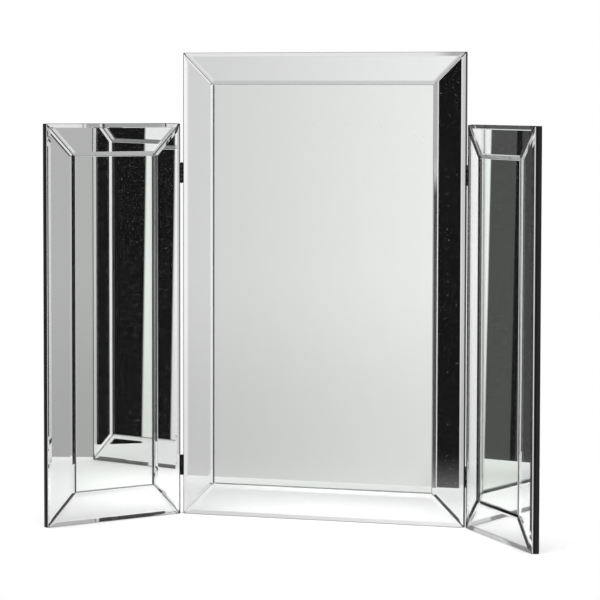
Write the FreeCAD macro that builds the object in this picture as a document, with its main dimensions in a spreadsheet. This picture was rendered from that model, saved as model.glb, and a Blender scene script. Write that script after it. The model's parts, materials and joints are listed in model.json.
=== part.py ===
import FreeCAD, Part
import os
import Sketcher

# Trifold dressing table mirror: a tall centre panel and two lower wings on butt hinges.
# Frame: +Z up, mirrors facing -Y, origin in the middle of the centre board's bottom face.
# Lengths are millimetres and angles are degrees.

DIMENSIONS = [
    ("centre_width", 376, "width of the centre backboard"),
    ("centre_height", 600, "height of the centre backboard"),
    ("wing_width", 200.5, "width of each wing's backboard"),
    ("wing_height", 509, "height of each wing's backboard"),
    ("fold_angle", 53.2, "how far each wing stands folded forward from flat"),
    ("board_thick", 5.5, "thickness of the backboards"),
    ("felt_thick", 0.7, "thickness of the felt on the backs"),
    ("felt_margin", 1.5, "bare board around the felt"),
    ("glass_thick", 4, "thickness of every glass piece"),
    ("glass_inset", 0.5, "how far the glass keeps inside the board's edge"),
    ("glass_joint", 0.3, "gap between neighbouring glass pieces"),
    ("strip_width", 40.5, "width of the border strips"),
    ("bevel_width", 5.2, "width of the bevel on the strips, seen from the front"),
    ("bevel_depth", 1.1, "how far the bevel drops at the strip's edge"),
    ("arris", 0.6, "small chamfer on the main mirrors' front edges"),
    ("tape_thick", 0.5, "thickness of the mounting tape under the glass"),
    ("tape_width", 24, "width of a run of mounting tape"),
    ("tape_margin", 15, "how far a run of tape stops short of the glass's ends"),
    ("hinge_gap", 2.5, "gap between the boards with a wing opened flat"),
    ("hinge_length", 26, "length of a hinge"),
    ("hinge_inset", 51, "from a wing's top or bottom to the near end of its hinge"),
    ("knuckle_radius", 1.15, "outer radius of the knuckles"),
    ("knuckle_gap", 0.2, "end play between neighbouring knuckles"),
    ("leaf_thick", 1, "thickness of a hinge leaf"),
    ("leaf_reach", 9.6, "from the hinge's axis to the leaf's far edge"),
    ("leaf_relief", 0.3, "clearance between a leaf and the other leaf's knuckles"),
    ("pin_radius", 0.55, "radius of a hinge pin"),
    ("pin_clearance", 0.05, "running clearance of the knuckles on the pin"),
    ("head_radius", 1, "radius of the heads on a hinge pin"),
    ("head_height", 0.6, "height of the heads on a hinge pin"),
    ("screw_radius", 1.05, "radius of a hinge screw's shank"),
    ("screw_length", 10, "length of a hinge screw"),
    ("screw_tip", 2, "length of a hinge screw's point"),
    ("screw_spacing", 15, "distance between the two screws of a leaf"),
    ("screw_clearance", 0.05, "clearance around a screw in its hole"),
    ("slot_width", 0.7, "width of the screwdriver slot"),
    ("slot_depth", 0.5, "depth of the screwdriver slot"),
]
KNUCKLES = 5
CENTRE_TAPE_RUNS = 4
WING_TAPE_RUNS = 2

doc = FreeCAD.newDocument("trifold_mirror")
sheet = doc.addObject("Spreadsheet::Sheet", "Sizes")
for row, (alias, value, meaning) in enumerate(DIMENSIONS, 1):
    sheet.set("A%d" % row, alias)
    sheet.set("B%d" % row, str(value))
    sheet.set("C%d" % row, meaning)
    sheet.setAlias("B%d" % row, alias)
doc.recompute()


def size(alias):
    """The expression that reads one driving dimension."""
    return "Sizes." + alias


# Distances that several pieces share, as expressions on the sheet.
TAPE_Y = "(-Sizes.board_thick / 2)"
GLASS_Y = "(-Sizes.board_thick / 2 - Sizes.tape_thick)"
FELT_Y = "(Sizes.board_thick / 2 + Sizes.felt_thick)"
AXIS_DEPTH = "(Sizes.board_thick / 2 + Sizes.tape_thick + Sizes.glass_thick)"
AXIS_X = "(Sizes.centre_width / 2 + Sizes.hinge_gap / 2)"
BORE_RADIUS = "(Sizes.pin_radius + Sizes.pin_clearance)"
KNUCKLE_LENGTH = "((Sizes.hinge_length - %d * Sizes.knuckle_gap) / %d)" % (KNUCKLES - 1, KNUCKLES)
KNUCKLE_PITCH = "((Sizes.hinge_length + Sizes.knuckle_gap) / %d)" % KNUCKLES
HOLE_RADIUS = "(Sizes.screw_radius + Sizes.screw_clearance)"
HOLE_DEPTH = "(Sizes.screw_length - Sizes.leaf_thick + Sizes.screw_clearance)"
SCREW_HEAD_RADIUS = "(Sizes.screw_radius + Sizes.leaf_thick)"
LEAF_FACE = "(Sizes.hinge_gap / 2 - Sizes.leaf_thick)"
HINGE_Z = {
    "lower": "(Sizes.hinge_inset + Sizes.hinge_length / 2)",
    "upper": "(Sizes.wing_height - Sizes.hinge_inset - Sizes.hinge_length / 2)",
}
SCREW_SIDES = (-1, 1)
BORDER = "(Sizes.glass_inset + Sizes.strip_width + Sizes.glass_joint)"
MITRE_GAP = "(sqrt(2) * Sizes.glass_joint)"


def place(x, y, z, turn="rotationy(0)"):
    """A placement expression from three expressions and a rotation."""
    return "placement(vector(%s; %s; %s); %s)" % (x, y, z, turn)


# Each hinge line stands on one side of the centre: -1 is left and 1 is right.
SIDES = {"left": -1, "right": 1}


def hinge_frame(side):
    """The frame of one hinge line, turned with its wing."""
    turn = "rotationz(%d * Sizes.fold_angle)" % -side
    return place("%d * %s" % (side, AXIS_X), "-" + AXIS_DEPTH, "0", turn)


def wing_frame(side):
    """The frame of a wing, in the middle of its board's bottom face."""
    middle = "%d * (Sizes.hinge_gap + Sizes.wing_width) / 2" % side
    return hinge_frame(side) + " * " + place(middle, AXIS_DEPTH, "0")


PANELS = {
    "centre": {
        "width": size("centre_width"),
        "height": size("centre_height"),
        "frame": place("0", "0", "0"),
        "hinge_edges": (-1, 1),
        "tape_runs": CENTRE_TAPE_RUNS,
    },
}
for side_name, side in SIDES.items():
    PANELS[side_name + "_wing"] = {
        "width": size("wing_width"),
        "height": size("wing_height"),
        "frame": wing_frame(side),
        "hinge_edges": (-side,),
        "tape_runs": WING_TAPE_RUNS,
    }

finished = []


def finish(piece, label, placement):
    """Name a finished piece, place it and keep it for writing."""
    piece.Label = label
    piece.setExpression("Placement", placement)
    finished.append(piece)


def new_body(name):
    return doc.addObject("PartDesign::Body", name + "_body")


def new_sketch(body, name, role):
    """A sketch on one of the body's own origin planes."""
    plane = [item for item in body.Origin.OriginFeatures if item.Role == role][0]
    sketch = body.newObject("Sketcher::SketchObject", name)
    sketch.AttachmentSupport = [(plane, "")]
    sketch.MapMode = "FlatFace"
    return sketch


def constrain(sketch, *values):
    return sketch.addConstraint(Sketcher.Constraint(*values))


def bind(sketch, expression, *values):
    """Add a constraint whose value follows an expression."""
    index = constrain(sketch, *values)
    sketch.setExpression("Constraints[%d]" % index, expression)


def draw_polygon(sketch, points):
    """Closed straight outline through the points, returned as line numbers."""
    corners = [FreeCAD.Vector(x, y, 0) for x, y in points]
    count = len(corners)
    lines = []
    for index, corner in enumerate(corners):
        following = corners[(index + 1) % count]
        lines.append(sketch.addGeometry(Part.LineSegment(corner, following)))
    for index, line in enumerate(lines):
        constrain(sketch, "Coincident", line, 2, lines[(index + 1) % count], 1)
    return lines


def draw_rectangle(sketch, width, height, base):
    """Rectangle centred across the vertical axis, with its lower edge at the height base."""
    low, right, top, left = draw_polygon(sketch, [(-9, 1), (9, 1), (9, 19), (-9, 19)])
    constrain(sketch, "Horizontal", top)
    for line in (right, left):
        constrain(sketch, "Vertical", line)
    constrain(sketch, "Symmetric", low, 1, low, 2, -2)
    bind(sketch, width, "DistanceX", low, 1, low, 2, 18)
    bind(sketch, height, "DistanceY", right, 1, right, 2, 18)
    bind(sketch, base, "DistanceY", -1, 1, low, 1, 1)


def draw_trapezium(sketch, outer, inner, width):
    """Mitred strip outline: its long outer edge on the horizontal axis, the short one above."""
    points = [(-40, 0), (40, 0), (20, 20), (-20, 20)]
    low, _, top, _ = draw_polygon(sketch, points)
    constrain(sketch, "PointOnObject", low, 1, -1)
    constrain(sketch, "Symmetric", low, 1, low, 2, -2)
    constrain(sketch, "Symmetric", top, 1, top, 2, -2)
    bind(sketch, outer, "DistanceX", low, 1, low, 2, 80)
    bind(sketch, inner, "DistanceX", top, 2, top, 1, 40)
    bind(sketch, width, "DistanceY", low, 2, top, 1, 20)


def draw_profile(sketch, points):
    """Half section of a turned piece: points of (radius, height) expressions, on the axis at both ends."""
    start = [(index % 3 + 1.0, index * 2.0 + 1) for index in range(len(points))]
    lines = draw_polygon(sketch, start)
    for line, (radius, height) in zip(lines, points):
        if radius is None:
            constrain(sketch, "PointOnObject", line, 1, -2)
        else:
            bind(sketch, radius, "DistanceX", -1, 1, line, 1, 1)
        if height is None:
            constrain(sketch, "PointOnObject", line, 1, -1)
        else:
            bind(sketch, height, "DistanceY", -1, 1, line, 1, 1)


def pad(body, sketch, length, name):
    feature = body.newObject("PartDesign::Pad", name)
    feature.Profile = sketch
    feature.setExpression("Length", length)
    return feature


def front_face(feature):
    """The name of a feature's foremost face."""
    doc.recompute()
    faces = feature.Shape.Faces
    depths = [face.CenterOfMass.y for face in faces]
    return "Face%d" % (depths.index(min(depths)) + 1)


def edge_chamfer(body, base, depth, width, name):
    """Bevel all round a pad's front face."""
    chamfer = body.newObject("PartDesign::Chamfer", name)
    chamfer.Base = (base, [front_face(base)])
    chamfer.ChamferType = "Two distances"
    chamfer.setExpression("Size", depth)
    chamfer.setExpression("Size2", width)


def revolve(body, sketch, name):
    feature = body.newObject("PartDesign::Revolution", name)
    feature.Profile = sketch
    feature.ReferenceAxis = (sketch, ["V_Axis"])
    feature.Angle = 360
    return feature


def backboard(name, panel):
    """Board with blind pilot holes for the hinge screws in its hinge edges."""
    body = new_body(name + "_backboard")
    outline = new_sketch(body, name + "_board_outline", "XZ_Plane")
    draw_rectangle(outline, panel["width"], panel["height"], "0")
    board = pad(body, outline, size("board_thick"), name + "_board")
    board.Midplane = True
    for edge in panel["hinge_edges"]:
        tag = name + ("_left" if edge < 0 else "_right")
        drilling = new_sketch(body, tag + "_drilling", "YZ_Plane")
        drilling.setExpression("AttachmentOffset.Base.z", "%d * %s / 2" % (edge, panel["width"]))
        for height in HINGE_Z.values():
            for screw_side in SCREW_SIDES:
                centre = FreeCAD.Vector(0, 10, 0)
                circle = drilling.addGeometry(Part.Circle(centre, FreeCAD.Vector(0, 0, 1), 1))
                constrain(drilling, "PointOnObject", circle, 3, -2)
                level = "%s + %d * Sizes.screw_spacing / 2" % (height, screw_side)
                bind(drilling, level, "DistanceY", -1, 1, circle, 3, 10)
                bind(drilling, HOLE_RADIUS, "Radius", circle, 1)
        holes = body.newObject("PartDesign::Pocket", tag + "_pilot_holes")
        holes.Profile = drilling
        holes.setExpression("Length", HOLE_DEPTH)
        holes.Reversed = edge < 0
    finish(body, name + "_backboard", panel["frame"])


def back_felt(name, panel):
    body = new_body(name + "_back_felt")
    outline = new_sketch(body, name + "_felt_outline", "XZ_Plane")
    width = "%s - 2 * Sizes.felt_margin" % panel["width"]
    height = "%s - 2 * Sizes.felt_margin" % panel["height"]
    draw_rectangle(outline, width, height, size("felt_margin"))
    pad(body, outline, size("felt_thick"), name + "_felt")
    finish(body, name + "_back_felt", panel["frame"] + " * " + place("0", FELT_Y, "0"))


def main_mirror(name, panel):
    body = new_body(name + "_main_mirror")
    outline = new_sketch(body, name + "_mirror_outline", "XZ_Plane")
    width = "%s - 2 * %s" % (panel["width"], BORDER)
    height = "%s - 2 * %s" % (panel["height"], BORDER)
    draw_rectangle(outline, width, height, BORDER)
    plate = pad(body, outline, size("glass_thick"), name + "_plate")
    edge_chamfer(body, plate, size("arris"), size("arris"), name + "_arris")
    finish(body, name + "_main_mirror", panel["frame"] + " * " + place("0", GLASS_Y, "0"))


def border_strips(name, panel):
    """Four mitred strips with their long edges just inside the board's edges."""
    half = "(%s / 2 - Sizes.glass_inset)" % panel["width"]
    middle = "%s / 2" % panel["height"]
    top = "%s - Sizes.glass_inset" % panel["height"]
    sides = {
        "bottom": (panel["width"], "0", size("glass_inset"), 0),
        "top": (panel["width"], "0", top, 180),
        "left": (panel["height"], "-" + half, middle, 90),
        "right": (panel["height"], half, middle, -90),
    }
    for side_name, (length, x, z, turn) in sides.items():
        label = "%s_%s_strip" % (name, side_name)
        body = new_body(label)
        outline = new_sketch(body, label + "_outline", "XZ_Plane")
        outer = "%s - 2 * Sizes.glass_inset - %s" % (length, MITRE_GAP)
        inner = "%s - 2 * Sizes.strip_width" % outer
        draw_trapezium(outline, outer, inner, size("strip_width"))
        glass = pad(body, outline, size("glass_thick"), label + "_glass")
        edge_chamfer(body, glass, size("bevel_depth"), size("bevel_width"), label + "_bevel")
        seat = place(x, GLASS_Y, z, "rotationy(%d)" % turn)
        finish(body, label, panel["frame"] + " * " + seat)


def tape_run(name, width, height, x, z):
    """One run of tape, centred at x and z on the board's front face."""
    run = doc.addObject("Part::Box", name)
    run.setExpression("Length", width)
    run.setExpression("Width", size("tape_thick"))
    run.setExpression("Height", height)
    left = "%s - (%s) / 2" % (x, width)
    low = "%s - (%s) / 2" % (z, height)
    run.setExpression("Placement", place(left, TAPE_Y + " - Sizes.tape_thick", low))
    return run


def group(pieces, label, placement):
    """Separate solids that share one node."""
    compound = doc.addObject("Part::Compound", label + "_group")
    compound.Links = pieces
    finish(compound, label, placement)


def mounting_tape(name, panel):
    """Upright runs behind the main mirror, and one run behind each border strip."""
    width = panel["width"]
    height = panel["height"]
    middle = "%s / 2" % height
    clear = "2 * (%s + Sizes.tape_margin)" % BORDER
    count = panel["tape_runs"]
    runs = []
    for index in range(count):
        x = "%s * (%s - 2 * %s)" % ((index - (count - 1) / 2) / count, width, BORDER)
        tall = "%s - %s" % (height, clear)
        runs.append(tape_run("%s_tape_%d" % (name, index), size("tape_width"), tall, x, middle))
    group(runs, name + "_mirror_tape", panel["frame"])

    line = "(Sizes.glass_inset + Sizes.strip_width / 2)"
    across = "%s - %s" % (width, clear)
    upright = "%s - %s" % (height, clear)
    thin = size("tape_width")
    strip_runs = [
        tape_run(name + "_bottom_tape", across, thin, "0", line),
        tape_run(name + "_top_tape", across, thin, "0", "%s - %s" % (height, line)),
        tape_run(name + "_left_tape", thin, upright, "-(%s / 2 - %s)" % (width, line), middle),
        tape_run(name + "_right_tape", thin, upright, "%s / 2 - %s" % (width, line), middle),
    ]
    group(strip_runs, name + "_strip_tape", panel["frame"])


def box(name, width, depth, height, x, y, z):
    """Box from its sizes and the place of its low corner."""
    solid = doc.addObject("Part::Box", name)
    solid.setExpression("Length", width)
    solid.setExpression("Width", depth)
    solid.setExpression("Height", height)
    solid.setExpression("Placement", place(x, y, z))
    return solid


def cylinder(name, radius, height, z):
    solid = doc.addObject("Part::Cylinder", name)
    solid.setExpression("Radius", radius)
    solid.setExpression("Height", height)
    solid.setExpression("Placement", place("0", "0", z))
    return solid


def hinge_leaf(label, knuckles, placement):
    """Leaf with its axis on Z, its plate to the +X side of the axis, and the hinge's middle at z = 0."""
    plate_y = "(Sizes.knuckle_radius + Sizes.leaf_relief)"
    low = "(-Sizes.hinge_length / 2)"
    plate_depth = "Sizes.leaf_reach - " + plate_y
    thick = size("leaf_thick")
    plate = box(label + "_plate", thick, plate_depth, size("hinge_length"), LEAF_FACE, plate_y, low)
    solids = [plate]
    for index in knuckles:
        z = "%s + %d * %s" % (low, index, KNUCKLE_PITCH)
        tag = "%s_%d" % (label, index)
        solids.append(cylinder(tag + "_barrel", size("knuckle_radius"), KNUCKLE_LENGTH, z))
        solids.append(box(tag + "_tab", thick, plate_y, KNUCKLE_LENGTH, LEAF_FACE, "0", z))
    blank = doc.addObject("Part::MultiFuse", label + "_blank")
    blank.Shapes = solids
    blank.Refine = True
    cuts = [cylinder(label + "_bore", BORE_RADIUS, size("hinge_length"), low)]
    for index, screw_side in enumerate(SCREW_SIDES):
        sink = doc.addObject("Part::Cone", "%s_sink_%d" % (label, index))
        sink.setExpression("Radius1", SCREW_HEAD_RADIUS + " + Sizes.screw_clearance")
        sink.setExpression("Radius2", HOLE_RADIUS)
        sink.setExpression("Height", size("leaf_thick"))
        level = "%d * Sizes.screw_spacing / 2" % screw_side
        sink.setExpression("Placement", place(LEAF_FACE, AXIS_DEPTH, level, "rotationy(90)"))
        cuts.append(sink)
    drills = doc.addObject("Part::Compound", label + "_drills")
    drills.Links = cuts
    leaf = doc.addObject("Part::Cut", label + "_leaf")
    leaf.Base = blank
    leaf.Tool = drills
    finish(leaf, label, placement)


def hinge_pin(label, placement):
    """Pin with a domed head just past each end knuckle."""
    body = new_body(label)
    section = new_sketch(body, label + "_section", "XZ_Plane")
    end = "(Sizes.hinge_length / 2 + Sizes.knuckle_gap / 2)"
    tip = "(%s + Sizes.head_height)" % end
    shoulder = "(%s + Sizes.head_height / 2)" % end
    crown = "(Sizes.head_radius * 2 / 3)"
    upper = [
        (size("pin_radius"), end),
        (size("head_radius"), end),
        (size("head_radius"), shoulder),
        (crown, tip),
        (None, tip),
    ]
    lower = [(radius, "-" + height) for radius, height in reversed(upper)]
    draw_profile(section, lower + upper)
    revolve(body, section, label + "_turned")
    finish(body, label, placement)


def hinge_screw(name, placement):
    """Countersunk slotted wood screw, pointing along -Z with its flat head at z = 0."""
    body = new_body(name)
    section = new_sketch(body, name + "_section", "XZ_Plane")
    points = [
        (None, "-" + size("screw_length")),
        (size("screw_radius"), "-(Sizes.screw_length - Sizes.screw_tip)"),
        (size("screw_radius"), "-" + size("leaf_thick")),
        (SCREW_HEAD_RADIUS, None),
        (None, None),
    ]
    draw_profile(section, points)
    revolve(body, section, name + "_turned")
    doc.recompute()
    solid = body.Shape.Volume
    outline = new_sketch(body, name + "_slot_outline", "XZ_Plane")
    draw_rectangle(outline, size("slot_width"), size("slot_depth"), "-" + size("slot_depth"))
    slot = body.newObject("PartDesign::Pocket", name + "_slot")
    slot.Profile = outline
    slot.Type = "ThroughAll"
    slot.Midplane = True
    doc.recompute()
    assert body.Shape.Volume < solid, name + " has no slot"
    body.setExpression("Placement", placement)
    return body


def hinges():
    """Two hinges on each side: a leaf on the centre, a leaf on the wing, a pin and their screws."""
    centre_screws = []
    for side_name, side in SIDES.items():
        fixed = place("%d * %s" % (side, AXIS_X), "-" + AXIS_DEPTH, "0")
        leaf_kinds = {
            "centre": (fixed, -side, range(0, KNUCKLES, 2), centre_screws),
            "wing": (hinge_frame(side), side, range(1, KNUCKLES, 2), []),
        }
        for level_name, height in HINGE_Z.items():
            hinge = "%s_%s_hinge" % (side_name, level_name)
            raised = place("0", "0", height)
            hinge_pin(hinge + "_pin", fixed + " * " + raised)
            for kind, (frame, facing, knuckles, screws) in leaf_kinds.items():
                label = "%s_%s_leaf" % (hinge, kind)
                turn = "rotationy(%d)" % (0 if facing > 0 else 180)
                seat = "%s * %s" % (frame, place("0", "0", height, turn))
                hinge_leaf(label, knuckles, seat)
                for index, screw_side in enumerate(SCREW_SIDES):
                    along = "%d * Sizes.screw_spacing / 2" % screw_side
                    driven = place(LEAF_FACE, AXIS_DEPTH, along, "rotationy(-90)")
                    name = "%s_screw_%d" % (label, index)
                    screws.append(hinge_screw(name, seat + " * " + driven))
        group(leaf_kinds["wing"][3], side_name + "_wing_hinge_screws", place("0", "0", "0"))
    group(centre_screws, "centre_hinge_screws", place("0", "0", "0"))


for panel_name, panel in PANELS.items():
    backboard(panel_name, panel)
    back_felt(panel_name, panel)
    main_mirror(panel_name, panel)
    border_strips(panel_name, panel)
    mounting_tape(panel_name, panel)
hinges()
doc.recompute()

for item in doc.Objects:
    bad = [state for state in item.State if state in ("Invalid", "Error")]
    assert not bad, "%s is %s" % (item.Label, bad)
for piece in finished:
    assert not piece.Shape.isNull(), piece.Label + " is empty"
    assert piece.Shape.isValid(), piece.Label + " is not valid"

os.makedirs("parts", exist_ok=True)
for piece in finished:
    piece.Shape.exportStep("parts/%s.step" % piece.Label)
print(len(finished), "sub-parts written")
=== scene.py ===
import json
import math

import bmesh
import bpy
from mathutils import Matrix, Vector


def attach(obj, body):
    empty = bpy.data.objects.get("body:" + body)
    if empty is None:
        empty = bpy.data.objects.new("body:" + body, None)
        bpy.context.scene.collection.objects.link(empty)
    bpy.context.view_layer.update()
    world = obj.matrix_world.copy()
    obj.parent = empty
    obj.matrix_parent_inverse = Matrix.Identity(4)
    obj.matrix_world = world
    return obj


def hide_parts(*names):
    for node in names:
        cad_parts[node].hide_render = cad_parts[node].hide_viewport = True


# The looks of a trifold dressing table mirror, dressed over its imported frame. Lengths are metres.
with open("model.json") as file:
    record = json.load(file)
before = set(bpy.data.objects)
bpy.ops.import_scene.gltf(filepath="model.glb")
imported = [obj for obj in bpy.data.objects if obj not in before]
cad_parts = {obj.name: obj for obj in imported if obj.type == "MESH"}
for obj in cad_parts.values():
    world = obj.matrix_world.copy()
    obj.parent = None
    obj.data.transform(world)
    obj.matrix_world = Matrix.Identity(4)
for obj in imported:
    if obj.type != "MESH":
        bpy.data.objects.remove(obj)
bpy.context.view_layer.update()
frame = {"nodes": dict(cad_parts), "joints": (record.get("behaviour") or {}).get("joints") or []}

PANELS = ("centre", "left_wing", "right_wing")
STRIP_SIDES = ("top", "bottom", "left", "right")

# Axes of a panel's own frame, and the way that each side of a panel faces along them.
AXES = range(3)
ACROSS, DEPTH, UPRIGHT = AXES
OUTWARD = {"left": (ACROSS, -1), "right": (ACROSS, 1), "bottom": (UPRIGHT, -1), "top": (UPRIGHT, 1)}

# Points closer than this to a level lie on it, and points closer than the second to a cut lie on that.
ON_PLANE = 1e-5
ON_CUT = 1e-6

# Material numbers of a glass.
CLEAR, SILVERED, SEALED, GROUND = range(4)

# The silver and its paint take up a hair of the glass's depth.
SILVER_DEPTH = 0.00005

# Refractive index of float glass.
GLASS_INDEX = 1.52

# Ground seam along the free side of each wing, where it is held.
SEAM_WIDTH = {"left_wing_left_strip": 0.0005, "right_wing_right_strip": 0.0009}

# Bevel of the mitred ends, as a part of the bevel on the long edges, and of an upper end that has less.
MITRE_BEVEL = 0.75
UPPER_MITRE = {"centre_right_strip": 0.1}

# Strips bedded on tape by hand lean a little. Degrees, positive where the outer edge sits lower.
STRIP_LEAN = {
    "centre_right_strip": 1.5,
    "left_wing_right_strip": -0.32,
    "left_wing_top_strip": -0.6,
}

# The tape under a strip ends this far from the strip's middle.
TAPE_REACH = 0.0122

# Rounded edges of the boards and of the felt.
BOARD_EDGE_RADIUS = 0.0006
FELT_EDGE_RADIUS = 0.0003
ROUNDING_STEPS = 3

# A speck in the silver is solid in its middle, the more so the higher the first value, and fades to
# its rim. The second value is the reach of the smallest speck, in cells.
SPECK_SOLID = 1.4
SPECK_LEAST = 0.0001

# Camera: its place, and its aim in degrees. Turned up by the first angle alone it looks level.
CAMERA_PLACE = (0.9433, -3.1608, 0.5367)
CAMERA_LEVEL = 90
CAMERA_YAW = -17.1285
CAMERA_PITCH = -3.2804
CAMERA_ROLL = 0.1181

# Its focal length in mm on a sensor 36 mm wide, and the shift of its picture as a part of the width.
CAMERA_LENS = 154.952
CAMERA_SHIFT_UP = -1 / 12

# White table top that the mirror stands on, a hair below it.
TABLE_LEFT = -0.38
TABLE_RIGHT = 0.34
TABLE_FRONT = -0.333
TABLE_BACK = 0.55
TABLE_HEIGHT = -0.0002

# The table's own glow, to the camera and in the mirrors.
TABLE_GLOW_SEEN = 0.32
TABLE_GLOW_MIRRORED = 0.06

# Studio round the object as the mirrors see it: brightness at azimuths in degrees, 0 straight ahead
# of the centre mirror and positive towards +X.
STUDIO_LIGHT = [
    (-180, 0.45),
    (-130, 0.45),
    (-100, 0.20),
    (-90, 0.20),
    (-80, 0.80),
    (-60, 1.02),
    (-40, 0.95),
    (-34, 0.92),
    (-26, 0.66),
    (-21, 0.66),
    (-19.3, 0.68),
    (-17.1, 0.765),
    (-14.5, 0.875),
    (-12, 0.93),
    (-9, 1.0),
    (8, 0.95),
    (12, 0.50),
    (19, 0.45),
    (22, 0.90),
    (52, 1.0),
    (80, 0.46),
    (88, 0.48),
    (90, 0.75),
    (100, 0.75),
    (102, 0.03),
    (111, 0.03),
    (113, 0.95),
    (180, 0.95),
]

# Cards with crisp edges in the studio. Each has its two ends in degrees of azimuth, the softness of
# its edges, its lowest and highest elevation, and its brightness. Later cards stand before earlier ones.
DOWN, UP = -90, 90
CARDS = [
    (-75.0, -60.64, 0.02, DOWN, UP, 0.088),
    (-75.0, -61.33, 0.02, DOWN, UP, 0.068),
    (-61.33, -61.21, 0.015, DOWN, UP, 0.012),
    (-40.0, -36.8, 0.3, DOWN, UP, 0.15),
    (-33.2, -30.2, 0.3, DOWN, UP, 0.03),
    (-32.5, -28.0, 0.3, -12.0, -8.4, 1.0),
    (-12.21, -8.8, 0.03, DOWN, UP, 0.009),
    (-12.5, -8.5, 0.1, 8.5, 12.0, 1.0),
    (-2.6, -0.4, 0.2, -0.5, 1.2, 0.05),
    (-4.3, 0.9, 0.2, 2.0, 8.0, 0.012),
    (1.4, 2.7, 0.2, DOWN, -1.6, 0.008),
    (1.4, 2.7, 0.2, -1.6, 8.0, 0.40),
    (5.9, 7.5, 0.2, DOWN, 3.0, 0.02),
    (24.0, 26.5, 0.3, DOWN, 3.0, 0.12),
    (29.5, 32.5, 0.3, DOWN, 3.0, 0.12),
    (34.5, 37.5, 0.3, DOWN, 3.0, 0.12),
    (67.6, 69.75, 0.05, DOWN, 3.5, 0.006),
    (69.75, 70.95, 0.08, DOWN, 3.5, 0.60),
    (70.95, 75.2, 0.08, DOWN, 3.5, 0.006),
    (77.7, 79.2, 0.3, DOWN, 3.5, 0.006),
]

# The cards lean by this many degrees of azimuth to a degree of elevation. Their ends are as listed at
# the elevation given second.
CARD_TILT = 0.016
CARD_TILT_HEIGHT = -4.4

# Softness of a card's upper and lower edge, in degrees.
CARD_END_BLUR = 0.5

# The walls lose a part of their light between two angles below the horizon.
WALL_LOSS = 0.14
WALL_LOSS_BELOW = (3.5, 7.5)

# A grey ceiling mixes in between two angles above the horizon.
CEILING_SHARE = 0.5
CEILING_LEVEL = 0.44
CEILING_ABOVE = (5.0, 10.0)

# The studio's floor begins between two angles below the horizon, and a strip of it is darker.
FLOOR_BELOW = (7.7, 10.0)
FLOOR_LEVEL = 0.84
FLOOR_STRIP = (-14.3, -8.6)
FLOOR_STRIP_BLUR = 0.3
FLOOR_STRIP_LEVEL = 0.42

# Even light of the studio on matt surfaces.
SOFT_LIGHT = 0.75

# Degrees of azimuth round the studio, and where straight ahead lies on its ramp of light.
FULL_TURN = 360
AHEAD = 0.5

# Sockets of a Mix node that blends colours.
MIX_FACTOR, MIX_FIRST, MIX_SECOND, MIX_RESULT = 0, 6, 7, 2


class Wire:
    """An output socket with arithmetic: each sum or product adds its own Math node."""

    def __init__(self, tree, socket):
        self.tree = tree
        self.socket = socket

    def other(self, name):
        """Another output of the same node."""
        return Wire(self.tree, self.socket.node.outputs[name])

    def __add__(self, value):
        return self.tree.maths("ADD", self, value)

    def __radd__(self, value):
        return self.tree.maths("ADD", value, self)

    def __sub__(self, value):
        return self.tree.maths("SUBTRACT", self, value)

    def __rsub__(self, value):
        return self.tree.maths("SUBTRACT", value, self)

    def __mul__(self, value):
        return self.tree.maths("MULTIPLY", self, value)

    def __rmul__(self, value):
        return self.tree.maths("MULTIPLY", value, self)

    def __truediv__(self, value):
        return self.tree.maths("DIVIDE", self, value)

    def __rtruediv__(self, value):
        return self.tree.maths("DIVIDE", value, self)

    def __pow__(self, value):
        return self.tree.maths("POWER", self, value)

    def __rpow__(self, value):
        return self.tree.maths("POWER", value, self)


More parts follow.
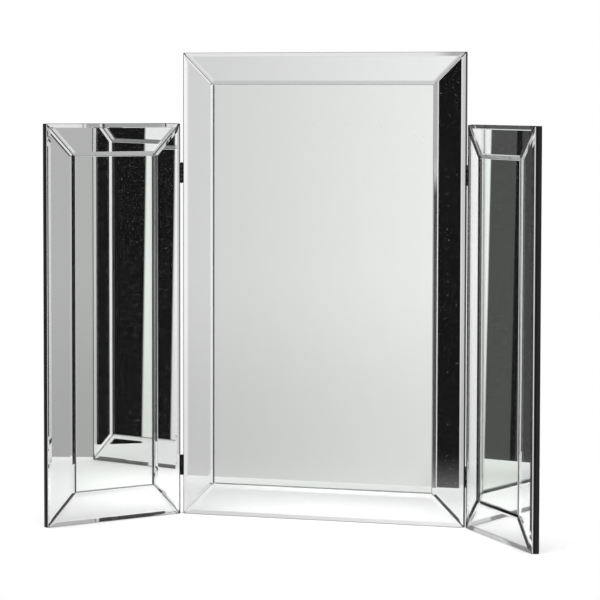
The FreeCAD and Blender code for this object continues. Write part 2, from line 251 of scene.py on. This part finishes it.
class Tree:
    """A node tree being wired, emptied first."""

    def __init__(self, node_tree):
        self.nodes = node_tree.nodes
        self.links = node_tree.links
        self.nodes.clear()

    def node(self, kind, settings=None, sockets=None, output=0):
        """Add a node: its settings first, then the values or links of its sockets."""
        made = self.nodes.new(kind)
        for name, value in (settings or {}).items():
            if name == "stops":
                self.fill_ramp(made.color_ramp, value)
            else:
                setattr(made, name, value)
        for name, value in (sockets or {}).items():
            if isinstance(value, Wire):
                self.links.new(value.socket, made.inputs[name])
            else:
                made.inputs[name].default_value = value
        return Wire(self, made.outputs[output]) if made.outputs else None

    @staticmethod
    def fill_ramp(ramp, stops):
        """Set a ramp's stops, each a position and a colour."""
        while len(ramp.elements) > 1:
            ramp.elements.remove(ramp.elements[-1])
        for index, (position, colour) in enumerate(stops):
            stop = ramp.elements.new(position) if index else ramp.elements[0]
            stop.position = position
            stop.color = colour

    def maths(self, operation, first, second):
        return self.node("ShaderNodeMath", {"operation": operation}, {0: first, 1: second})

    def clamp(self, value):
        return self.node("ShaderNodeClamp", None, {"Value": value})

    def ease(self, value, start, end):
        """0 up to start, 1 from end on, and a smooth rise between them."""
        sockets = {"Value": value, "From Min": start, "From Max": end}
        return self.node("ShaderNodeMapRange", {"interpolation_type": "SMOOTHSTEP"}, sockets)

    def between(self, value, start, end, blur):
        """1 from start to end and 0 outside, with edges as soft as the blur."""
        risen = self.ease(value, start - blur, start + blur)
        return risen * (1 - self.ease(value, end - blur, end + blur))

    def mix(self, factor, first, second):
        """Blend two colours."""
        sockets = {MIX_FACTOR: factor, MIX_FIRST: first, MIX_SECOND: second}
        return self.node("ShaderNodeMix", {"data_type": "RGBA"}, sockets, MIX_RESULT)

    def place(self, kind="Object"):
        return self.node("ShaderNodeTexCoord").other(kind)

    def stretch(self, place, scale):
        return self.node("ShaderNodeMapping", None, {"Vector": place, "Scale": scale})

    def noise(self, place, scale, detail=3.0, roughness=0.5):
        sockets = {"Vector": place, "Scale": scale, "Detail": detail, "Roughness": roughness}
        return self.node("ShaderNodeTexNoise", None, sockets)

    def bump(self, height, strength, distance):
        sockets = {"Height": height, "Strength": strength, "Distance": distance}
        return self.node("ShaderNodeBump", None, sockets)

    def rays(self):
        """1 on what the camera sees, and 1 on what a mirror or a glass shows."""
        path = self.node("ShaderNodeLightPath")
        mirrored = self.clamp(path.other("Is Glossy Ray") + path.other("Is Transmission Ray"))
        return path.other("Is Camera Ray"), mirrored

    def principled(self, sockets):
        shader = self.node("ShaderNodeBsdfPrincipled", None, sockets)
        self.node("ShaderNodeOutputMaterial", None, {"Surface": shader})


def rgb(red, green, blue):
    return (red, green, blue, 1.0)


def grey(level):
    return rgb(level, level, level)


def new_finish(name):
    """A material with an empty node tree."""
    material = bpy.data.materials.new(name)
    material.use_nodes = True
    return material, Tree(material.node_tree)


def dust(tree, place, per_metre, radius):
    """Specks scattered one to a cell and in many sizes: 1 on a speck and 0 between."""
    cells = tree.node(
        "ShaderNodeTexVoronoi",
        {"voronoi_dimensions": "2D"},
        {"Vector": place, "Scale": per_metre},
    )
    chance = tree.node("ShaderNodeSeparateColor", None, {"Color": cells.other("Color")})
    reach = chance ** 2 * (radius * per_metre) + SPECK_LEAST
    return tree.clamp(SPECK_SOLID - SPECK_SOLID * cells / reach)


def clear_glass():
    """Clear float glass, with faint smears left by wiping."""
    material, tree = new_finish("clear_glass")
    wiped = tree.stretch(tree.place("UV"), scale=(40, 9, 1))
    smears = tree.ease(tree.noise(wiped, scale=1.0, detail=4.0, roughness=0.6), start=0.45, end=0.8)
    tree.principled({
        "Base Color": tree.mix(smears, grey(1.0), rgb(0.985, 0.99, 0.985)),
        "Roughness": 0.012 * smears,
        "IOR": GLASS_INDEX,
        "Transmission Weight": 1.0,
    })
    return material


def silver(name, tint):
    """Silver coat behind the glass, with specks and a thin bloom."""
    material, tree = new_finish(name)
    place = tree.place("UV")
    coarse = dust(tree, place, per_metre=90, radius=0.00045)
    fine = dust(tree, place, per_metre=420, radius=0.00022)
    wiped = tree.stretch(place, scale=(30, 6, 1))
    streaks = tree.noise(wiped, scale=1.0, detail=4.0, roughness=0.6)
    bloom = 0.006 * tree.ease(streaks, start=0.52, end=0.75)
    specks = tree.clamp(0.55 * coarse + 0.35 * fine + bloom)
    tree.principled({
        "Base Color": tree.mix(specks, tint, grey(0.75)),
        "Metallic": 1 - specks,
        "Roughness": 0.6 * tree.ease(specks, start=0.02, end=0.2),
        "Specular IOR Level": 0.0,
    })
    return material


def sealed_edge():
    """Edge of the glass sealed with black paint, with fine wheel marks."""
    material, tree = new_finish("sealed_glass_edge")
    place = tree.place()
    marks = tree.noise(place, scale=900, detail=2.0)
    coat = tree.noise(place, scale=14, detail=2.0)
    tree.principled({
        "Base Color": tree.mix(coat, rgb(0.006, 0.008, 0.007), rgb(0.018, 0.022, 0.020)),
        "Roughness": 0.35 + 0.25 * marks,
        "Specular IOR Level": 0.15,
        "Normal": tree.bump(marks, strength=0.15, distance=0.0001),
    })
    return material


def ground_edge():
    """Arris taken off with a stone: pale, frosted and finely scratched."""
    material, tree = new_finish("ground_glass_edge")
    scratches = tree.noise(tree.place(), scale=1500, detail=3.0, roughness=0.6)
    tree.principled({
        "Base Color": tree.mix(scratches, rgb(0.60, 0.63, 0.62), rgb(0.84, 0.86, 0.85)),
        "Roughness": 0.45 + 0.2 * scratches,
        "Normal": tree.bump(scratches, strength=0.2, distance=0.0001),
    })
    return material


def satin_black(name, low, high, roughness, specular):
    """Black sprayed paint with a fine orange peel and small changes of gloss."""
    material, tree = new_finish(name)
    place = tree.place()
    peel = tree.noise(place, scale=700, detail=2.0)
    cloud = tree.noise(place, scale=18, detail=4.0)
    tree.principled({
        "Base Color": tree.mix(cloud, grey(low), grey(high)),
        "Roughness": roughness + 0.2 * cloud,
        "Specular IOR Level": specular,
        "Normal": tree.bump(peel, strength=0.2, distance=0.0002),
    })
    return material


def black_felt():
    """Short pressed fibres, matt, with a little lint."""
    material, tree = new_finish("black_felt")
    place = tree.place()
    upright = tree.stretch(place, scale=(1.0, 1.0, 0.35))
    level = tree.stretch(place, scale=(0.35, 0.35, 1.0))
    fibres = tree.noise(upright, scale=1600, detail=4.0, roughness=0.7)
    cross = tree.noise(level, scale=1300, detail=4.0, roughness=0.7)
    nap = tree.noise(place, scale=25, detail=3.0)
    pile = fibres * cross * 2
    lint = tree.clamp(pile + 0.4 * nap - 0.3)
    tree.principled({
        "Base Color": tree.mix(lint, grey(0.008), rgb(0.046, 0.046, 0.05)),
        "Roughness": 0.92,
        "Specular IOR Level": 0.15,
        "Sheen Weight": 0.25,
        "Sheen Roughness": 0.5,
        "Normal": tree.bump(pile, strength=0.6, distance=0.0006),
    })
    return material


def hinge_metal(name, dark, bright, roughness):
    """Blackened steel, rubbed a little brighter in patches."""
    material, tree = new_finish(name)
    place = tree.place()
    wear = tree.ease(tree.noise(place, scale=240, detail=4.0, roughness=0.6), start=0.5, end=0.72)
    brushed = tree.stretch(place, scale=(1, 1, 0.1))
    grain = tree.noise(brushed, scale=2200, detail=2.0)
    tree.principled({
        "Base Color": tree.mix(wear, grey(dark), grey(bright)),
        "Metallic": 0.85,
        "Roughness": roughness + 0.2 * grain - 0.12 * wear,
        "Normal": tree.bump(grain, strength=0.1, distance=0.0001),
    })
    return material


def foam_tape():
    """White foam tape, closed cells."""
    material, tree = new_finish("foam_tape")
    cells = tree.noise(tree.place(), scale=1200, detail=2.0)
    tree.principled({
        "Base Color": tree.mix(cells, grey(0.45), grey(0.7)),
        "Roughness": 0.85,
        "Normal": tree.bump(cells, strength=0.3, distance=0.0002),
    })
    return material


def panel_matrix(body):
    """From a panel's own frame to its place at rest: a wing is turned about its hinge line by its fold."""
    for joint in frame["joints"]:
        if joint["child"] == body:
            fold = -math.radians(joint["range_deg"][0])
            x, y, _ = joint["pos_m"]
            turn = Matrix.Rotation(joint["axis"][UPRIGHT] * fold, 4, "Z")
            return Matrix.Translation((x, y, 0)) @ turn
    return Matrix.Identity(4)


def local_points(node, matrix):
    """The corners of a CAD node in its panel's own frame."""
    inverse = matrix.inverted()
    return [inverse @ vertex.co for vertex in frame["nodes"][node].data.vertices]


def extent(points):
    """The lowest and the highest corner of a box round some points."""
    low = Vector([min(point[axis] for point in points) for axis in AXES])
    high = Vector([max(point[axis] for point in points) for axis in AXES])
    return low, high


def new_object(name, shape, materials):
    """Turn a bmesh into an object of the scene."""
    mesh = bpy.data.meshes.new(name)
    shape.to_mesh(mesh)
    shape.free()
    for material in materials:
        mesh.materials.append(material)
    made = bpy.data.objects.new(name, mesh)
    bpy.context.scene.collection.objects.link(made)
    return made


def new_piece(name, shape, matrix, materials, body, node):
    """Turn a bmesh in a panel's frame into a piece that rides that panel and stands for its node."""
    shape.transform(matrix)
    bmesh.ops.recalc_face_normals(shape, faces=shape.faces)
    piece = new_object(name, shape, materials)
    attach(piece, body)
    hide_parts(node)
    return piece


def glass_outline(side, low, high):
    """Corners round the front of a mitred strip, or of a plain plate."""
    width = min(high.x - low.x, high.z - low.z)
    corners = [
        Vector((low.x, low.z)),
        Vector((high.x, low.z)),
        Vector((high.x, high.z)),
        Vector((low.x, high.z)),
    ]
    mitres = {
        "bottom": ((2, (-width, 0)), (3, (width, 0))),
        "top": ((0, (width, 0)), (1, (-width, 0))),
        "left": ((1, (0, width)), (2, (0, -width))),
        "right": ((0, (0, width)), (3, (0, -width))),
    }
    for index, step in mitres.get(side, ()):
        corners[index] += Vector(step)
    return corners


def lean_matrix(side, lean, low, high):
    """Shear that lowers a strip's outer edge, or its inner edge where negative, resting on its tape."""
    axis, outward = OUTWARD[side]
    slope = outward * math.tan(math.radians(lean))
    shear = Matrix.Identity(4)
    shear[DEPTH][axis] = slope
    shear.translation[DEPTH] = -slope * (low[axis] + high[axis]) / 2 - abs(slope) * TAPE_REACH
    return shear


def outer_edge(side, low, high):
    """The axis across a strip and where its outer edge lies on it."""
    axis, outward = OUTWARD[side]
    level = high[axis] if outward > 0 else low[axis]
    return axis, level


def lies_at(item, axis, level):
    """True if all of an edge or a face lies at one level of an axis."""
    return all(abs(vertex.co[axis] - level) < ON_PLANE for vertex in item.verts)


def seal_walls(walls, side, low, high):
    """Paint the sides of a glass black. The inner side of a top, bottom or right strip is left clear."""
    for wall in walls:
        wall.material_index = SEALED
        if side in ("top", "bottom", "right"):
            axis, level = outer_edge(side, low, high)
            if lies_at(wall, axis, low[axis] + high[axis] - level):
                wall.material_index = CLEAR


def cut_facets(shape, outline, front, width, depth, upper_mitre, finish):
    """Bevel the front edges of a glass. Mitred ends take a narrower bevel of the same slope."""
    for start, end in zip(outline, outline[1:] + outline[:1]):
        along = end - start
        outward = Vector((along.y, -along.x)).normalized()
        drop = depth
        if min(abs(along.x), abs(along.y)) > ON_PLANE:
            drop = depth * (upper_mitre if outward.y > 0 else MITRE_BEVEL)
        cut = bmesh.ops.bisect_plane(
            shape,
            geom=shape.verts[:] + shape.edges[:] + shape.faces[:],
            dist=ON_CUT,
            plane_co=(start.x, front + drop, start.y),
            plane_no=Vector((outward.x * depth, -width, outward.y * depth)).normalized(),
            clear_outer=True,
        )["geom_cut"]
        rim = [item for item in cut if isinstance(item, bmesh.types.BMEdge)]
        for face in bmesh.ops.edgeloop_fill(shape, edges=rim)["faces"]:
            face.material_index = finish


def grind_seam(shape, width, side, low, high, rim_depth):
    """Take the sharp rim off the outer edge of a strip."""
    axis, level = outer_edge(side, low, high)
    outer = [edge for edge in shape.edges if lies_at(edge, axis, level)]
    rim = [edge for edge in outer if lies_at(edge, DEPTH, rim_depth)]
    seam = bmesh.ops.bevel(
        shape, geom=rim, offset=width, segments=1, profile=0.5, affect="EDGES", material=-1
    )
    for face in seam["faces"]:
        face.material_index = GROUND


def glass_blank(outline, side, low, high):
    """A glass cut to its outline, with a clear front, a silvered back and the paint on its sides."""
    shape = bmesh.new()
    shape.faces.new([shape.verts.new((x, low.y, z)) for x, z in outline])
    drawn = bmesh.ops.extrude_edge_only(shape, edges=shape.edges[:])["geom"]
    for item in drawn:
        if isinstance(item, bmesh.types.BMVert):
            item.co.y = high.y - SILVER_DEPTH
    seal_walls([item for item in drawn if isinstance(item, bmesh.types.BMFace)], side, low, high)
    open_rim = [edge for edge in shape.edges if edge.is_boundary]
    for face in bmesh.ops.holes_fill(shape, edges=open_rim)["faces"]:
        face.material_index = SILVERED
    return shape


def lay_panel_map(shape):
    """A UV map in metres across and up a panel, for the specks and the smears."""
    uv = shape.loops.layers.uv.new("panel_metres")
    for face in shape.faces:
        for loop in face.loops:
            loop[uv].uv = (loop.vert.co.x, loop.vert.co.z)


def glass_piece(body, side, materials):
    """One glass of a panel, with its bevels, and with a seam and a lean where it has them."""
    node = "%s_main_mirror" % body if side == "main" else "%s_%s_strip" % (body, side)
    matrix = panel_matrix(body)
    points = local_points(node, matrix)
    low, high = extent(points)
    front_low, _ = extent([point for point in points if point.y < low.y + ON_PLANE])
    bevel_width = min(front_low.x - low.x, front_low.z - low.z)
    rim_depth = min(point.y for point in points if point.x < low.x + ON_PLANE)

    outline = glass_outline(side, low, high)
    shape = glass_blank(outline, side, low, high)
    upper_mitre = UPPER_MITRE.get(node, MITRE_BEVEL)
    finish = GROUND if side == "main" else CLEAR
    cut_facets(shape, outline, low.y, bevel_width, rim_depth - low.y, upper_mitre, finish)
    if node in SEAM_WIDTH:
        grind_seam(shape, SEAM_WIDTH[node], side, low, high, rim_depth)
    if node in STRIP_LEAN:
        lean = lean_matrix(side, STRIP_LEAN[node], low, high)
        bmesh.ops.transform(shape, matrix=lean, verts=shape.verts)
    lay_panel_map(shape)
    new_piece(node + "_glass", shape, matrix, materials, body, node)


def softened_sheet(body, part, radius, materials):
    """A board or a sheet of felt with rounded edges. The sides take the last of its materials."""
    node = "%s_%s" % (body, part)
    matrix = panel_matrix(body)
    low, high = extent(local_points(node, matrix))
    shape = bmesh.new()
    bmesh.ops.create_cube(shape, size=1.0)
    bmesh.ops.scale(shape, vec=high - low, verts=shape.verts)
    bmesh.ops.translate(shape, vec=(low + high) / 2, verts=shape.verts)
    rounded = bmesh.ops.bevel(
        shape,
        geom=shape.edges,
        offset=radius,
        segments=ROUNDING_STEPS,
        profile=0.5,
        affect="EDGES",
        material=-1,
    )
    for face in rounded["faces"]:
        face.smooth = True
    for face in shape.faces:
        if not lies_at(face, DEPTH, low.y) and not lies_at(face, DEPTH, high.y):
            face.material_index = len(materials) - 1
    return new_piece(node + "_finished", shape, matrix, materials, body, node)


def paint_nodes(ending, material):
    """Give a finish to every CAD node whose name has this ending."""
    for name, node in frame["nodes"].items():
        if name.endswith(ending):
            for place in node.material_slots:
                place.material = material


def dress_panels():
    """Glass, board and felt of the three panels."""
    glass = clear_glass()
    plate_silver = silver("plate_silver", tint=rgb(0.925, 0.950, 0.925))
    strip_silver = silver("strip_silver", tint=rgb(0.935, 0.940, 0.940))
    edges = [sealed_edge(), ground_edge()]
    board = [
        satin_black("satin_black_board", low=0.008, high=0.016, roughness=0.42, specular=0.3),
        satin_black("board_edge_paint", low=0.010, high=0.022, roughness=0.08, specular=0.15),
    ]
    felt = [black_felt()]
    for body in PANELS:
        glass_piece(body, "main", [glass, plate_silver] + edges)
        for side in STRIP_SIDES:
            glass_piece(body, side, [glass, strip_silver] + edges)
        softened_sheet(body, "backboard", BOARD_EDGE_RADIUS, board)
        cloth = softened_sheet(body, "back_felt", FELT_EDGE_RADIUS, felt)


def dress_hardware():
    """Finishes of the tape, the hinges and the screws, which keep their CAD shapes."""
    paint_nodes("_tape", foam_tape())
    paint_nodes("_leaf", hinge_metal("blackened_hinge", dark=0.02, bright=0.11, roughness=0.38))
    paint_nodes("_pin", hinge_metal("hinge_pin_steel", dark=0.10, bright=0.35, roughness=0.28))
    paint_nodes("_screws", hinge_metal("hinge_screw_steel", dark=0.07, bright=0.30, roughness=0.30))


def white_table():
    """The pale top that the mirror stands on; its glow only lifts it to the white round it."""
    material, tree = new_finish("white_table")
    seen, mirrored = tree.rays()
    lift = tree.clamp(TABLE_GLOW_SEEN * seen + TABLE_GLOW_MIRRORED * mirrored)
    tree.principled({
        "Base Color": grey(0.86),
        "Roughness": 0.7,
        "Specular IOR Level": 0.0,
        "Emission Color": tree.mix(lift, grey(0.0), grey(1.0)),
        "Emission Strength": 1.0,
    })
    size = (TABLE_RIGHT - TABLE_LEFT, TABLE_BACK - TABLE_FRONT, 1)
    middle = ((TABLE_RIGHT + TABLE_LEFT) / 2, (TABLE_BACK + TABLE_FRONT) / 2, TABLE_HEIGHT)
    shape = bmesh.new()
    bmesh.ops.create_grid(shape, x_segments=1, y_segments=1, size=0.5)
    bmesh.ops.scale(shape, vec=size, verts=shape.verts)
    bmesh.ops.translate(shape, vec=middle, verts=shape.verts)
    table = new_object("white_table", shape, [material])


def studio_world():
    """White to the camera, soft even light on the object, and the cards of a studio in the mirrors."""
    world = bpy.data.worlds.new("studio")
    world.use_nodes = True
    bpy.context.scene.world = world
    tree = Tree(world.node_tree)
    axes = tree.node("ShaderNodeSeparateXYZ", None, {"Vector": tree.place("Generated")})
    azimuth = tree.maths("ARCTAN2", axes, 0 - axes.other("Y")) * math.degrees(1)
    height = tree.maths("ARCSINE", axes.other("Z"), 0) * math.degrees(1)
    below = 0 - height

    stops = [(angle / FULL_TURN + AHEAD, grey(level)) for angle, level in STUDIO_LIGHT]
    studio = tree.node("ShaderNodeValToRGB", {"stops": stops}, {"Fac": azimuth / FULL_TURN + AHEAD})
    studio = tree.mix(WALL_LOSS * tree.ease(below, *WALL_LOSS_BELOW), studio, grey(0.0))
    leaning = azimuth + CARD_TILT * (height - CARD_TILT_HEIGHT)
    for start, end, blur, lowest, highest, level in CARDS:
        card = tree.between(leaning, start, end, blur)
        if lowest > DOWN or highest < UP:
            card = card * tree.between(height, lowest, highest, CARD_END_BLUR)
        studio = tree.mix(card, studio, grey(level))
    ceiling = CEILING_SHARE * tree.ease(height, *CEILING_ABOVE)
    studio = tree.mix(ceiling, studio, grey(CEILING_LEVEL))
    strip = tree.between(azimuth, *FLOOR_STRIP, FLOOR_STRIP_BLUR)
    floor = tree.mix(strip, grey(FLOOR_LEVEL), grey(FLOOR_STRIP_LEVEL))
    studio = tree.mix(tree.ease(below, *FLOOR_BELOW), studio, floor)

    seen, mirrored = tree.rays()
    lit = tree.mix(mirrored, grey(SOFT_LIGHT), studio)
    colour = tree.mix(seen, lit, grey(1.0))
    light = tree.node("ShaderNodeBackground", None, {"Color": colour, "Strength": 1.0})
    tree.node("ShaderNodeOutputWorld", None, {"Surface": light})


def soft_lamp(name, place, aim, width, depth, watts, spread):
    """A rectangular lamp that the mirrors don't show. Its spread is in degrees."""
    data = bpy.data.lights.new(name, "AREA")
    data.shape = "RECTANGLE"
    data.size = width
    data.size_y = depth
    data.energy = watts
    data.spread = math.radians(spread)
    lamp = bpy.data.objects.new(name, data)
    lamp.location = place
    lamp.rotation_euler = (Vector(aim) - Vector(place)).to_track_quat("-Z", "Y").to_euler()
    lamp.visible_glossy = False
    lamp.visible_transmission = False
    bpy.context.scene.collection.objects.link(lamp)


def studio_lamps():
    """A large softbox above the front, and a small one that shines straight down round the foot."""
    soft_lamp(
        "overhead_softbox",
        place=(0, -0.6, 2.6),
        aim=(0, -0.05, 0.2),
        width=2.2,
        depth=2.2,
        watts=26,
        spread=180,
    )
    soft_lamp(
        "table_fill",
        place=(0.02, -0.03, 1.6),
        aim=(0.02, -0.03, 0),
        width=0.42,
        depth=0.10,
        watts=0.19,
        spread=15,
    )


def photo_camera():
    """The camera, where the photograph was taken from."""
    data = bpy.data.cameras.new("camera")
    data.lens = CAMERA_LENS
    data.shift_y = CAMERA_SHIFT_UP
    camera = bpy.data.objects.new("camera", data)
    turn = Matrix.Rotation(math.radians(-CAMERA_YAW), 4, "Z")
    tilt = Matrix.Rotation(math.radians(CAMERA_LEVEL + CAMERA_PITCH), 4, "X")
    roll = Matrix.Rotation(math.radians(CAMERA_ROLL), 4, "Z")
    camera.matrix_world = Matrix.Translation(CAMERA_PLACE) @ turn @ tilt @ roll
    bpy.context.scene.collection.objects.link(camera)
    bpy.context.scene.camera = camera


bpy.context.scene.view_settings.view_transform = "Standard"
dress_panels()
dress_hardware()
white_table()
studio_world()
studio_lamps()
photo_camera()
